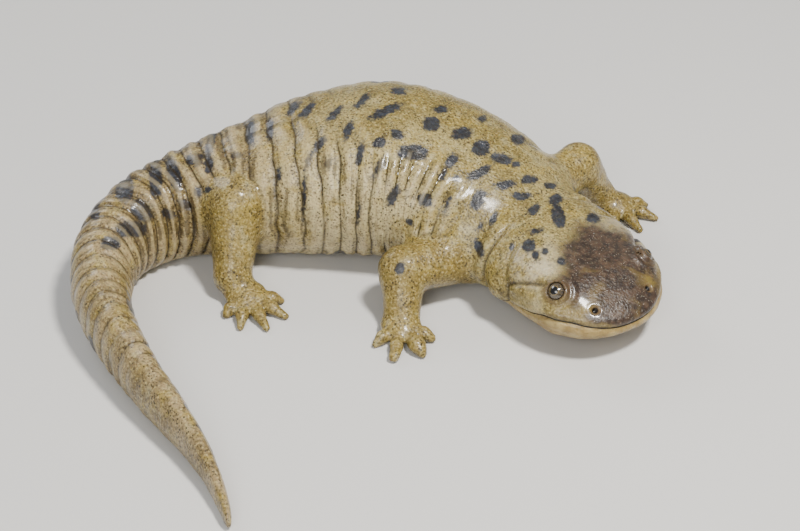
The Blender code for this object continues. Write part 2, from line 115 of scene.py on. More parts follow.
# Digits: (angle from the limb's own heading in degrees, length from the palm's centre).
FINGERS = ((-58, 6.6), (-20, 8.8), (16, 8.6), (52, 6.6))
TOES = ((-64, 6.2), (-32, 8.6), (-2, 9.8), (28, 9.2), (60, 6.8))
DIGIT_RADIUS = (1.25, 0.95, 0.62)  # at root, bend and tip
DIGIT_ROOT = 0.35  # share of the palm's half width where a digit starts
DIGIT_BEND = (0.45, 0.42)  # shares of the palm's half width and of the digit's length to its bend
DIGIT_ARCH = 0.4  # how far a digit's bend stands above its thickness
DIGIT_SINK = 0.08  # how far a digit presses into the floor
DIGIT_BLENDS = (1.0, 0.4)  # how softly its two lengths join the hand
PALM_THICKNESS = 1.9
PALM_LENGTH = 0.95  # as a share of its width
PALM_LIFT = (0, 0, 0.1)
NEXT_LENGTH = 0.96  # how much thinner the next length starts than the last one ends
LIMB_BLENDS = (1.2, 1.6, 1.4)  # how softly its lengths join each other, from the root down
TRUNK_BLEND = 3.2

# Each limb: places of root, elbow or knee, wrist or ankle, and palm; radii at the first three;
# the palm's half width; the heading of the hand in the world; and its digits.
LIMBS = (
    (((34, -10, 7), (41, -22.8, 8), (34.5, -26.5, 3.2), (31.2, -28.6, 1.6)),
     (4.7, 4.3, 2.8), 3.5, -78, FINGERS),
    (((36, 10, 10), (35.5, 20.5, 11.3), (34.6, 24.8, 4.2), (32.6, 27, 1.6)),
     (4.4, 3.9, 2.7), 3.4, -40, FINGERS),
    (((93, -3, 9.5), (88.5, -9.8, 13.8), (91.5, -17, 3.8), (89, -20.5, 1.6)),
     (5.6, 5, 3), 3.7, -62, TOES),
    (((93, 3, 9), (89, 13.5, 8.8), (94, 18.5, 3.8), (94.5, 21.8, 1.6)),
     (5.4, 4.7, 3), 3.7, 62, TOES),
)

# The camera that sees the animal as the photograph does.
VIEW_ELEVATION = 35.0
VIEW_WIDTH = 22.0
VIEW_DISTANCE = 360.0
VIEW_TARGET = (-39.5, 15.5, 8.0)  # from the snout, before the shift
PICTURE = (800, 531)


# Numbers along the body.


def smooth_through(table, column):
    """A function of distance that passes through a table's rows without overshooting between them."""
    x, y = np.array([(row[0], row[column]) for row in table], float).T
    step = np.diff(x)
    rise = np.diff(y) / step
    before, after = 2 * step[1:] + step[:-1], step[1:] + 2 * step[:-1]
    same_way = rise[:-1] * rise[1:] > 0
    first, second = np.where(same_way, rise[:-1], 1.0), np.where(same_way, rise[1:], 1.0)
    slope = np.where(same_way, (before + after) / (before / first + after / second), 0.0)
    slope = np.concatenate([rise[:1], slope, rise[-1:]])

    def value(at):
        at = np.clip(at, x[0], x[-1])
        i = np.clip(np.searchsorted(x, at, side="right") - 1, 0, len(x) - 2)
        t = (at - x[i]) / step[i]
        ends = (1 + 2 * t) * (1 - t) ** 2 * y[i] + t * t * (3 - 2 * t) * y[i + 1]
        return ends + step[i] * (t * (1 - t) ** 2 * slope[i] + t * t * (t - 1) * slope[i + 1])

    return value


facing_at = smooth_through(FACING, 1)
half_width_at = smooth_through(OUTLINE, 1)
top_at = smooth_through(OUTLINE, 2)
underside_at = smooth_through(OUTLINE, 3)
squareness_at = smooth_through(OUTLINE, 4)


def spine_table():
    """Distance, x, y, facing angle and bend rate along the spine, carried on straight past both ends."""
    step, b = 0.25, SPINE_BEYOND
    along = np.arange(0, TOTAL_LENGTH + step / 2, step)
    angle = np.radians(facing_at(along))
    ahead = np.stack([np.cos(angle), np.sin(angle)])
    line = np.cumsum(-(ahead[:, 1:] + ahead[:, :-1]) / 2 * step, axis=1)
    line = np.hstack([b * ahead[:, :1], np.zeros((2, 1)), line, line[:, -1:] - b * ahead[:, -1:]])
    bend = np.concatenate([[0.0, 0.0], np.gradient(angle, step)[1:-1], [0.0, 0.0]])
    along = np.concatenate([[-b], along, [TOTAL_LENGTH + b]])
    angle = np.concatenate([angle[:1], angle, angle[-1:]])
    return along, line[0], line[1], angle, bend


SPINE = spine_table()
X, Y, ANGLE, BEND = 1, 2, 3, 4  # its columns after the distance
SHIFT = np.zeros(3)


def on_spine(along, column):
    return np.interp(along, SPINE[0], SPINE[column])


def sizes(rows):
    """The length of each row's vector."""
    return np.linalg.norm(rows, axis=1)


def place(along, side, height):
    """A place on the animal as a point in the frame, in millimetres."""
    x, y, angle = on_spine(along, X), on_spine(along, Y), on_spine(along, ANGLE)
    return np.array([x - side * np.sin(angle), y + side * np.cos(angle), height]) + SHIFT


def way_of(along, forward_out_up, side_sign):
    """A direction given as forward, outward and up, turned into the frame, of length one."""
    angle = on_spine(along, ANGLE)
    ahead, out, up = forward_out_up
    out = out * side_sign
    way = np.array([
        ahead * np.cos(angle) - out * np.sin(angle), ahead * np.sin(angle) + out * np.cos(angle), up,
    ])
    return way / np.linalg.norm(way)


# The move from the snout's own axes to the frame's, found from where the right eye is.
EYE_LOW, EYE_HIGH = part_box("eye_right")
SHIFT = np.array((EYE_LOW + EYE_HIGH) / 2) / MM - place(EYE_PLACE[0], -EYE_PLACE[1], EYE_PLACE[2])


def spine_coordinates(points, along=None):
    """Distance along the spine, and to its left, of points seen from above, by Newton's method."""
    x, y = points[:, 0] - SHIFT[0], points[:, 1] - SHIFT[1]
    furthest = TOTAL_LENGTH + SPINE_BEYOND
    if along is None:
        stops = np.arange(-SPINE_BEYOND, furthest, 1.0)
        sx, sy = on_spine(stops, X), on_spine(stops, Y)
        along = np.empty(len(x))
        for start in range(0, len(x), POINTS_AT_ONCE):
            part = slice(start, start + POINTS_AT_ONCE)
            far = (x[part, None] - sx) ** 2 + (y[part, None] - sy) ** 2
            along[part] = stops[far.argmin(1)]
    for _ in range(3):
        angle = on_spine(along, ANGLE)
        dx, dy = x - on_spine(along, X), y - on_spine(along, Y)
        ahead = dx * np.cos(angle) + dy * np.sin(angle)
        side = -dx * np.sin(angle) + dy * np.cos(angle)
        along = along - ahead / np.clip(1 + on_spine(along, BEND) * side, 0.35, 3)
        along = np.clip(along, -SPINE_BEYOND, furthest)
    return along, side


# The skin's distance.


def smooth_min(a, b, reach):
    """The lesser of two distances, rounded where they come within reach of each other."""
    near = np.maximum(reach - np.abs(a - b), 0) / reach
    return np.minimum(a, b) - near * near * reach * 0.25


def smooth_max(a, b, reach):
    return -smooth_min(-a, -b, reach)


def body_distance(along, side, height):
    """About the distance from the trunk's surface: the radius from the section's middle, less the
    superellipse's own radius that way. The snout and the tail's tip close by the same rule."""
    wide = half_width_at(along)
    top, under = top_at(along), underside_at(along)
    power = squareness_at(along)
    rise = height - (top + under) / 2
    tall = (top - under) / 2
    reach = (np.abs(side) / wide) ** power + (np.abs(rise) / tall) ** power
    reach = reach ** (1 / power)
    ahead = np.maximum(SNOUT_ROUNDING - along, 0)
    behind = np.maximum(along - (TOTAL_LENGTH - TAIL_ROUNDING), 0)
    blunt = SNOUT_BLUNTNESS
    reach = np.where(ahead > 0, (reach**blunt + (ahead / SNOUT_ROUNDING) ** blunt) ** (1 / blunt), reach)
    reach = np.where(behind > 0, np.hypot(reach, behind / TAIL_ROUNDING), reach)
    radius = np.sqrt(side**2 + rise**2 + ahead**2 + behind**2)
    return np.where(reach > 1e-3, radius * (1 - 1 / np.maximum(reach, 1e-3)), -np.minimum(wide, tall))


def tapered_distance(points, start, end, radius_start, radius_end, swell=0.0):
    """Distance from a straight length whose radius goes evenly from one end to the other, with a
    swelling halfway."""
    line = end - start
    share = np.clip((points - start) @ line / (line @ line), 0, 1)
    radius = radius_start + (radius_end - radius_start) * share + swell * 4 * share * (1 - share)
    return sizes(points - start - share[:, None] * line) - radius


def pad_distance(points, centre, radii, turn):
    """About the distance from an ellipsoid turned about the vertical."""
    c, s = np.cos(turn), np.sin(turn)
    d = points - centre
    local = np.stack([d[:, 0] * c + d[:, 1] * s, -d[:, 0] * s + d[:, 1] * c, d[:, 2]], 1)
    near, steep = sizes(local / radii), sizes(local / np.square(radii))
    return near * (near - 1) / np.maximum(steep, 1e-6)


def limb_pieces(limb):
    """The straight lengths of a limb and its digits: (start, end, radius, radius, swelling, blend)."""
    places, radii, palm_width, heading, digits = limb
    root, joint, wrist, palm = [place(*p) for p in places]
    lengths = [
        (root, joint, radii[0], radii[1], 0.0, LIMB_BLENDS[0]),
        (joint, wrist, radii[1] * NEXT_LENGTH, radii[2], 0.25, LIMB_BLENDS[1]),
        (wrist, palm, radii[2] * NEXT_LENGTH, PALM_THICKNESS * NEXT_LENGTH, 0.0, LIMB_BLENDS[2]),
    ]
    base, knuckle, tip = DIGIT_RADIUS
    for turn, length in digits:
        angle = math.radians(heading + turn)
        way = np.array([math.cos(angle), math.sin(angle), 0])
        to_bend = palm_width * DIGIT_BEND[0] + length * DIGIT_BEND[1]
        stops = [palm + way * reach for reach in (palm_width * DIGIT_ROOT, to_bend, length - tip)]
        for stop, height in zip(stops, (base, knuckle + DIGIT_ARCH, tip)):
            stop[2] = height - DIGIT_SINK
        lengths.append((stops[0], stops[1], base, knuckle, 0.0, DIGIT_BLENDS[0]))
        lengths.append((stops[1], stops[2], knuckle, tip, 0.05, DIGIT_BLENDS[1]))
    return lengths, palm, palm_width, math.radians(heading)


LIMB_PIECES = [limb_pieces(limb) for limb in LIMBS]
EYES = [
    (sign, place(EYE_PLACE[0], sign * EYE_PLACE[1], EYE_PLACE[2]), way_of(EYE_PLACE[0], EYE_GAZE, sign))
    for sign in (1, -1)
]
LIMB_REACH = 9.0  # how far from a limb's ends the skin still feels it
EYE_REACH = 6.5


def eye_axes(sign, gaze):
    """Two directions square to the gaze: roughly forwards along the head, and up."""
    ahead = way_of(EYE_PLACE[0], (1, 0, 0), sign)
    ahead = ahead - gaze * (ahead @ gaze)
    ahead /= np.linalg.norm(ahead)
    up = np.cross(gaze, ahead)
    return ahead, up * np.sign(up[2])


def skin_distance(points, along=None, side=None):
    """About the distance from the skin, below zero inside. What joins the trunk does so by smooth_min;
    the eye's hollow and the floor are taken off by smooth_max."""
    if along is None:
        along, side = spine_coordinates(points)
    value = body_distance(along, side, points[:, 2])
    for lengths, palm, palm_width, heading in LIMB_PIECES:
        ends = np.array([p for piece in lengths for p in piece[:2]])
        near = np.all((points > ends.min(0) - LIMB_REACH) & (points < ends.max(0) + LIMB_REACH), axis=1)
        p = points[near]
        pad = np.array((palm_width * PALM_LENGTH, palm_width, PALM_THICKNESS))
        limb = pad_distance(p, palm + PALM_LIFT, pad, heading)
        for *shape, blend in reversed(lengths):
            limb = smooth_min(limb, tapered_distance(p, *shape), blend)
        value[near] = smooth_min(value[near], limb, TRUNK_BLEND)
    for sign, eye, gaze in EYES:
        near = sizes(points - eye) < EYE_REACH
        p = points[near] - eye
        forwards, up = eye_axes(sign, gaze)
        out = p @ gaze
        v = smooth_min(value[near], sizes(p + gaze * BROW[0]) - BROW[1], BROW[2])
        rim_out = math.sqrt(EYE_RADIUS**2 - LID_OPENING**2)
        across = np.hypot(p @ forwards / LID_STRETCH, p @ up)
        lid = np.hypot(across - LID_OPENING - LID_SET[0], out - rim_out + LID_SET[1]) - LID_THICKNESS
        v = smooth_min(v, lid, 0.7)
        hollow = EYE_RADIUS + EYE_SLACK - sizes(p)
        opening = np.maximum(across - LID_OPENING + 0.15, -out)
        v = smooth_max(v, hollow, 0.12)
        value[near] = smooth_max(v, -np.maximum(opening, np.abs(out - 3) - 3), 0.15)
    return smooth_max(value, -points[:, 2], 0.5)


# From distance to mesh.

GRID_EASING = 6.0  # the stretch over which the grid goes from fine to coarse
GRID_MARGIN = 1.5  # how far the grid reaches past the skin


def graded_line(low, high, fine_low, fine_high, fine, coarse):
    """Grid places from low to high, fine between two of them and coarse outside, easing between."""
    places = [low]
    while places[-1] < high:
        at = places[-1]
        away = max(fine_low - at, at - fine_high, 0.0)
        places.append(at + fine + (coarse - fine) * min(away / GRID_EASING, 1.0))
    return np.array(places)


def net_of(value, xs, ys, zs):
    """Surface net of a grid of distances: one vertex in each cell that the zero level crosses, at the
    mean of its edges' crossings, and one quad round each grid edge that it crosses."""
    inside = value < 0
    shape = np.array(value.shape) - 1
    corners = list(np.ndindex(2, 2, 2))
    a, b, c = shape
    total = sum(inside[i : i + a, j : j + b, k : k + c].astype(np.int8) for i, j, k in corners)
    cells = np.argwhere((total > 0) & (total < 8))
    number = np.full(shape, -1, np.int64)
    number[tuple(cells.T)] = np.arange(len(cells))
    lines = (xs, ys, zs)
    summed = np.zeros((len(cells), 3))
    count = np.zeros(len(cells))
    for corner in corners:
        for axis in range(3):
            if corner[axis]:
                continue
            a = cells + corner
            b = a.copy()
            b[:, axis] += 1
            va, vb = value[tuple(a.T)], value[tuple(b.T)]
            crossed = (va < 0) != (vb < 0)
            share = np.where(crossed, va / np.where(crossed, va - vb, 1), 0)
            for other in range(3):
                pa, pb = lines[other][a[:, other]], lines[other][b[:, other]]
                summed[:, other] += crossed * (pa + share * (pb - pa))
            count += crossed
    points = summed / count[:, None]
    quads = []
    for axis, (u, v) in enumerate(((1, 2), (0, 2), (0, 1))):
        edges = np.argwhere(np.diff(inside, axis=axis))
        edges = edges[np.all((edges[:, [u, v]] > 0) & (edges[:, [u, v]] < shape[[u, v]]), axis=1)]
        ring = []
        for du, dv in ((1, 1), (0, 1), (0, 0), (1, 0)):
            cell = edges.copy()
            cell[:, u] -= du
            cell[:, v] -= dv
            ring.append(number[tuple(cell.T)])
        ring = np.stack(ring, 1)
        outward = inside[tuple(edges.T)]
        if axis == 1:
            outward = ~outward
        quads.append(np.where(outward[:, None], ring, ring[:, ::-1]))
    return points, np.concatenate(quads)


def neighbour_mean(points, quads):
    """Each vertex's mean of the vertices that share an edge with it."""
    edges = np.concatenate([quads[:, [i, (i + 1) % 4]] for i in range(4)])
    edges = np.concatenate([edges, edges[:, ::-1]])
    count = np.bincount(edges[:, 0], minlength=len(points))
    total = [np.bincount(edges[:, 0], points[edges[:, 1], axis], len(points)) for axis in range(3)]
    return np.stack(total, 1) / np.maximum(count, 1)[:, None]


def slope_of(points, along):
    """The distance and its unit slope at each point, by small steps."""
    small = 0.02
    here_along, side = spine_coordinates(points, along)
    here = skin_distance(points, here_along, side)
    slope = np.empty_like(points)
    for axis in range(3):
        moved = points.copy()
        moved[:, axis] += small
        a, s = here_along, side
        if axis < 2:
            a, s = spine_coordinates(moved, here_along)
        slope[:, axis] = (skin_distance(moved, a, s) - here) / small
    length = sizes(slope)
    return here, slope / np.maximum(length, 1e-6)[:, None], length, here_along


def skin_mesh(fine, coarse):
    """The smooth skin without its folds: vertices, quads, outward directions and places along."""
    low = np.array(CAD_BOX[0]) / MM - GRID_MARGIN
    high = np.array(CAD_BOX[1]) / MM + GRID_MARGIN
    head_low = np.min([place(28, 14, 0), place(28, -14, 0), place(-1, -10, 0)], axis=0)
    head_high = np.maximum(place(28, 14, 0), place(-1, 10, 0))
    xs = graded_line(low[0], high[0], head_low[0], high[0], fine, coarse)
    ys = graded_line(low[1], high[1], head_low[1], head_high[1], fine, coarse)
    zs = graded_line(-0.8, high[2], 4.0, 15.0, fine, coarse)
    columns = np.stack(np.meshgrid(xs, ys, indexing="ij"), -1).reshape(-1, 2)
    along, side = spine_coordinates(columns)
    near = np.abs(side) - half_width_at(along) < GRID_MARGIN
    near &= (along > -GRID_MARGIN) & (along < TOTAL_LENGTH + GRID_MARGIN)
    for lengths, *_ in LIMB_PIECES:
        for start, end, r0, r1, _, _ in lengths:
            near |= tapered_distance(columns, start[:2], end[:2], r0 + 2.0, r1 + 2.0) < 0
    value = np.ones((len(columns), len(zs)))
    chosen = np.flatnonzero(near)
    points = np.column_stack([np.repeat(columns[chosen], len(zs), axis=0), np.tile(zs, len(chosen))])
    found = skin_distance(points, np.repeat(along[chosen], len(zs)), np.repeat(side[chosen], len(zs)))
    value[chosen] = found.reshape(len(chosen), len(zs))
    points, quads = net_of(value.reshape(len(xs), len(ys), len(zs)), xs, ys, zs)
    along, _ = spine_coordinates(points)
    for _ in range(4):
        here, out, steep, along = slope_of(points, along)
        move = neighbour_mean(points, quads) - points
        move -= (move * out).sum(1)[:, None] * out
        points = points + 0.5 * move - (here / np.maximum(steep, 0.5))[:, None] * out
    here, out, steep, along = slope_of(points, along)
    points = points - (np.clip(here / np.maximum(steep, 0.5), -0.1, 0.1))[:, None] * out
    return points, quads, out, along


def linked(name, data):
    """An object of the scene that shows a mesh, a lamp or a camera."""
    made = bpy.data.objects.new(name, data)
    bpy.context.scene.collection.objects.link(made)
    return made


def mesh_object(name, points, faces, carried):
    """A smooth-shaded mesh object from points in millimetres, with named values at its vertices."""
    mesh = bpy.data.meshes.new(name)
    mesh.from_pydata(points * MM, [], faces)
    mesh.shade_smooth()
    for key, values in carried.items():
        layer = mesh.attributes.new(key, "FLOAT", "POINT")
        layer.data.foreach_set("value", np.asarray(values, np.float32))
    return linked(name, mesh)


# Folds, lips and pores.

FAR_OFF = 9.0  # stands for any distance from a feature that is too large to matter
FOLD_PLACES = np.concatenate([np.linspace(26.93, 92.5, 18), np.linspace(95.8, 172.6, 25)])
FOLD_TOP = ((38, 68), (50, 64), (60, 68), (70, 88), (80, 106))  # (along, turn where folds end)
FOLD_DEPTH = ((34, 0.62), (46, 0.65), (60, 0.5), (78, 0.9), (100, 0.95), (130, 0.7), (150, 0.45))
FOLD_LEAST = ((60, 0.15), (74, 0.75))  # (along, the share of its depth that a fold keeps anywhere)
MOUTH_LINE = (
    (-3, 7.1), (0, 7.1), (2, 7.6), (5, 8.2), (8.4, 8.2), (11.8, 7.2), (15, 6.6), (17.3, 6.2), (20, 5.6),
)
GULAR_LINE = ((-90, 25.2), (-21, 25.7), (38, 25.8), (71, 26.6), (90, 28.0))  # (turn, along)
GULAR_DEPTH = ((-90, 0.8), (-10, 1.1), (25, 1.0), (45, 0.6), (62, 0.25), (90, 0.1))  # (turn, depth)
CHEEK_GROOVE = ((11.6, 6.6), (13.2, 5.6), (15, 4.4), (18, 1.8), (17.7, -0.5), (17.2, -3.4))  # (along, round)
NECK_CREASE = ((21.4, 7.6), (20.6, 6.0), (19.9, 4.8), (19.1, 3.3), (18.2, 2.0))
OLIVE_PLACE = (4.6, 7.1, 10.3)  # the middle of the olive patch behind each nostril
HEAD_GIRTH = 8.9  # millimetres round the head for each radian of turn
# Soft forms of the head: (push, middle along, reach along, middle round the head, reach round it).
HEAD_FORMS = (
    (1.1, 21.2, 2.4, -1.6, 3.2),  # the lobe behind the jaw's corner
    (0.4, 13.8, 3.6, 2.2, 1.9),  # the cheek
    (0.45, 16.8, 3.6, 7.4, 2.7),  # the temple
    (-0.22, 5.2, 2.6, 4.2, 2.0),  # the hollow before the eye
)


def cloud(points, size, seed):
    """Smooth noise from -1 to 1: random values on a lattice of that size, eased between its corners."""
    dice = np.random.default_rng(seed).permutation(4096)
    at = points / size + 977.3
    cell = np.floor(at).astype(np.int64)
    share = at - cell
    share = share * share * share * (share * (share * 6 - 15) + 10)
    total = 0
    for corner in np.ndindex(2, 2, 2):
        c = cell + corner
        index = dice[(c[:, 0] + dice[(c[:, 1] + dice[c[:, 2] % 4096]) % 4096]) % 4096]
        weight = np.prod(np.where(np.array(corner) == 1, share, 1 - share), axis=1)
        total = total + weight * (index / 2047.5 - 1)
    return total


def eased(value, start, end):
    """0 at start and 1 at end, eased between."""
    share = np.clip((value - start) / (end - start), 0, 1)
    return share * share * (3 - 2 * share)


def bell(value, centre, width):
    return np.exp(-(((value - centre) / width) ** 2))


def read_off(table, at):
    """A table's value at a place, in a straight line between its rows."""
    return np.interp(at, *np.transpose(table))


def from_either(points, spot):
    """Distance from a place on the left side, or from the same one on the right if that is nearer."""
    nearest = np.full(len(points), FAR_OFF)
    for sign in (1, -1):
        nearest = np.minimum(nearest, sizes(points - place(spot[0], sign * spot[1], spot[2])))
    return nearest


def line_distance(u, v, stops):
    """Distance in a plane from a line through stops."""
    nearest = np.full(len(u), 1e9)
    for (u0, v0), (u1, v1) in zip(stops, stops[1:]):
        du, dv = u1 - u0, v1 - v0
        share = np.clip(((u - u0) * du + (v - v0) * dv) / (du * du + dv * dv), 0, 1)
        nearest = np.minimum(nearest, np.hypot(u - u0 - share * du, v - v0 - share * dv))
    return nearest


def folded(points, out, along):
    """The skin with its folds, lips, brows and nostrils pushed in or out, and the values it carries."""
    along, side = spine_coordinates(points, along)
    height = points[:, 2]
    wide = half_width_at(along)
    top, under = top_at(along), underside_at(along)
    turn = np.degrees(np.arctan2((height - (top + under) / 2) / ((top - under) / 2), np.abs(side) / wide))
    on_body = 1 - eased(body_distance(along, side, height), 0.25, 1.6)

    # Folds round the trunk and tail: deep where the bend squeezes them, shallow where it stretches.
    wander = cloud(points, 9.0, 3) * 0.9 + cloud(points, 3.0, 4) * 0.3
    count = np.interp(along + wander, FOLD_PLACES, np.arange(len(FOLD_PLACES)))
    across = np.abs(np.sin(np.pi * count))
    reach_up = read_off(FOLD_TOP, along) + 16 * cloud(points, 4.5, 9)
    folds = eased(turn, reach_up, reach_up - 24) * eased(turn, -62, -38)
    folds *= eased(along, 31, 38) * eased(along, 168, 150)
    folds *= np.clip(0.65 - on_spine(along, BEND) * side, 0.75, 1.15) * read_off(FOLD_DEPTH, along)
    folds *= np.maximum(0.8 + 0.8 * cloud(points, 6.0, 5), read_off(FOLD_LEAST, along)) * on_body
    push = folds * (across**0.5 - 0.8)
    finer = np.abs(np.sin(np.pi * (count * 2 + 0.5 + cloud(points, 5.0, 6) * 0.4)))
    some = eased(cloud(points, 7.0, 8), -0.5, 0.2)
    push += folds * some * 0.42 * (finer**0.6 - 0.8)

    # The groove along the middle of the back, and the slack of the skin.
    push -= 0.3 * bell(side, 0, 1.3) * eased(turn, 30, 70) * eased(along, 30, 40) * eased(along, 100, 80)
    push += 0.16 * cloud(points, 6.5, 11) + 0.07 * cloud(points, 2.6, 12)
    push += 0.035 * cloud(points, 1.2, 13)

    # The fold under the throat that rises behind the head.
    round_head = np.radians(turn) * HEAD_GIRTH
    gular = read_off(GULAR_LINE, turn) + 0.3 * cloud(points, 4.0, 15)
    low_side = read_off(GULAR_DEPTH, turn)
    push -= on_body * low_side * bell(along, gular, 0.6)
    push += on_body * low_side * 0.4 * bell(along, gular + 1.9, 1.3)

    # The groove from the eye back to the jaw's corner, the crease behind it and the head's soft forms.
    from_groove = line_distance(along, round_head, CHEEK_GROOVE)
    from_crease = line_distance(along, round_head, NECK_CREASE)
    push -= (0.6 * bell(from_groove, 0, 0.5) + 0.45 * bell(from_crease, 0, 0.7)) * on_body
    for form, middle, reach, middle_round, reach_round in HEAD_FORMS:
        push += form * bell(along, middle, reach) * bell(round_head, middle_round, reach_round)
    push -= 0.18 * bell(side, 0, 2.2) * bell(along, 14, 8) * eased(turn, 30, 70)

    # Brows, lids' outer fold and nostrils.
    from_eye = np.full(len(points), FAR_OFF)
    for sign, eye, gaze in EYES:
        d = points - eye
        forwards, up = eye_axes(sign, gaze)
        around = np.hypot(d @ forwards / LID_STRETCH, d @ up)
        around = np.where(d @ gaze > -3.5, around, FAR_OFF)
        inner = eased(d @ forwards + 0.7 * (d @ up), -0.8, 1.8)
        push -= 0.2 * bell(around, 2.2, 0.26) * (0.4 + 0.6 * inner)
        push += 0.2 * bell(around, 2.72, 0.34) * inner
        from_eye = np.minimum(from_eye, around)
    from_nostril, from_olive = from_either(points, NOSTRIL_PLACE), from_either(points, OLIVE_PLACE)
    push += 0.06 * bell(from_nostril, 0.95, 0.4) - 1.1 * bell(from_nostril, 0, 0.5)

    # The mouth: a thin line between a full upper lip and a rounded lower jaw.
    over = height - smooth_through(MOUTH_LINE, 1)(along)
    lips = eased(along, 19.5, 17.0) * on_body
    push += lips * (0.34 * bell(over, 0.9, 0.7) - 0.42 * bell(over, 0, 0.28) + 0.22 * bell(over, -1.4, 0.9))

    # Nothing moves where the animal rests, or on the lids' rims.
    push = push * eased(height, 0.1, 1.2) * eased(from_eye, 1.9, 2.3)
    points = points + push[:, None] * out
    points[:, 2] = np.maximum(points[:, 2], 0)
    # The groove and finer values below mark creases where the skin's finish paints shade.
    grooves = np.minimum(from_groove, from_crease + 0.25)
    carried = {
        "along": along, "turn": turn, "trunk": on_body, "fold": folds, "count": count,
        "nostril": from_nostril, "olive": bell(from_olive, 0, 1.2), "lid": from_eye,
        "finer": folds * some * (1 - finer),
        "mouth": np.where(lips > 0.02, over, FAR_OFF),
        "jaw": eased(over, 0.05, -0.25) * eased(along, 21, 17) * on_body,
        "groove": np.minimum(grooves, np.abs(along - gular) / low_side) + 1 - on_body,
    }
    return points, carried


# Markings.

# The dark spots of the side that the picture shows, as read from it:
# (centre across, centre down, length, width, slant in degrees, rising to the right), in its pixels.
SEEN_SPOTS = (
    (412.9, 152.2, 28, 14, 0), (431.2, 124, 15, 13, 0), (396.7, 134.3, 11, 9, 0), (379.6, 142.3, 13, 9, 30),
    (386, 111, 32, 7.5, 25), (348.3, 129.9, 18, 7, 70), (334.4, 113.7, 16, 6, 45),
    (360, 153.3, 19, 6.6, 75), (379, 167.3, 18, 6.6, 62), (393.4, 195.9, 19, 9, 60),
    (425.3, 199.6, 13, 12, 0), (451.8, 160.7, 13, 10, 55), (443, 173.9, 12, 5, 65), (456.9, 178.3, 7, 6, 0),
    (462, 133.5, 18, 10, 0), (481.1, 148.2, 16, 14, 0), (517.8, 139.4, 13, 9, -20),
    (501.6, 159.2, 19, 9, -10), (479.6, 172.4, 22, 8, 27), (504.6, 184.9, 18, 7, 10),
    (528.8, 179.7, 15, 7, 0), (520.7, 195.9, 15, 7, 0), (550, 185.6, 12, 5, 0), (555.9, 198.8, 12, 8, 20),
    (533.9, 209.8, 12, 8, 35), (478.1, 200.3, 19, 11, 65), (492.8, 220.1, 14, 6, 65),
    (479.3, 248.7, 16, 7, -70), (528.8, 245.8, 12, 11, 0), (558, 216, 21, 12, -80), (593, 218, 12, 8, -15),
    (535.4, 231.1, 10, 4, 10), (535.4, 255.5, 6, 9, 0), (544.9, 251.6, 5, 6.6, 0),
    (511.9, 247.2, 4.4, 7, 0), (561, 261, 8, 6, 0), (399.7, 268.5, 9, 9, 0), (410, 222.3, 7, 7, 0),
    (447.4, 204.7, 13, 4, 70), (515.6, 164.3, 7, 4, 0), (481, 226, 5, 6, 0), (399, 91, 13, 6, 0),
    (362.3, 100.5, 17, 6, 40), (482.6, 118.9, 8, 5, 0), (440, 109, 12, 7, 0), (294.5, 107.1, 19, 6.4, 52),
    (307.3, 110.3, 18, 6.4, 47), (269.8, 129.4, 18, 6.4, 88), (251, 131, 22, 9, 88),
    (240.3, 121.5, 8, 6, 70), (232.3, 122.3, 7, 6, 0), (210.8, 142.2, 29, 7, 80), (209.2, 164.5, 17, 8, 90),
    (186.9, 143.8, 18, 6, 65), (198, 159, 11, 6, 80), (190, 160.5, 8, 8, 0), (173.5, 173, 33, 12, -73),
    (155.5, 178, 34, 12, 92), (157.4, 190, 9, 8, 90), (124.5, 189, 24, 16, 80), (141.4, 210.8, 24, 15, -45),
    (131, 229, 27, 15, 0), (111, 242.7, 17, 13, 0), (95.2, 214, 11, 8, 60), (198, 191.6, 10, 7, 90),
    (207.6, 190, 6, 5, 60), (185.3, 204.4, 14, 8, -30), (169.3, 214, 13, 8, -20), (278.6, 175.7, 12, 4, 85),
    (304.6, 191.6, 36, 3.4, 88), (319.2, 143.8, 18, 6.4, 50), (308, 160.5, 12, 5, 75),
    (328.8, 162.9, 12, 6, 75), (237, 155, 9.6, 6, 0), (358.6, 213, 17, 3, 85),
)
SPOT_EDGE = 1.06  # how far a spot reaches, as a share of its read size
SPOT_SQUARENESS = 2.4
UNSEEN_SPOTS = 120
UNSEEN_TRIES = 2600
UNSEEN_SIZES = (0.45, 0.7, 0.9, 1.15, 1.4)
UNSEEN_RADIUS = 1.15


def camera_axes():
    """Where the camera stands, and its ahead and up directions, in millimetres in the frame."""
    tilt = math.radians(VIEW_ELEVATION)
    ahead = np.array([0, math.cos(tilt), -math.sin(tilt)])
    up = np.array([0, math.sin(tilt), math.cos(tilt)])
    return np.array(VIEW_TARGET) + SHIFT - ahead * VIEW_DISTANCE, ahead, up


def oval(a, b):
    """How far out of a slightly squared oval a place is, as a share of its size."""
    return (np.abs(a) ** SPOT_SQUARENESS + np.abs(b) ** SPOT_SQUARENESS) ** (1 / SPOT_SQUARENESS)


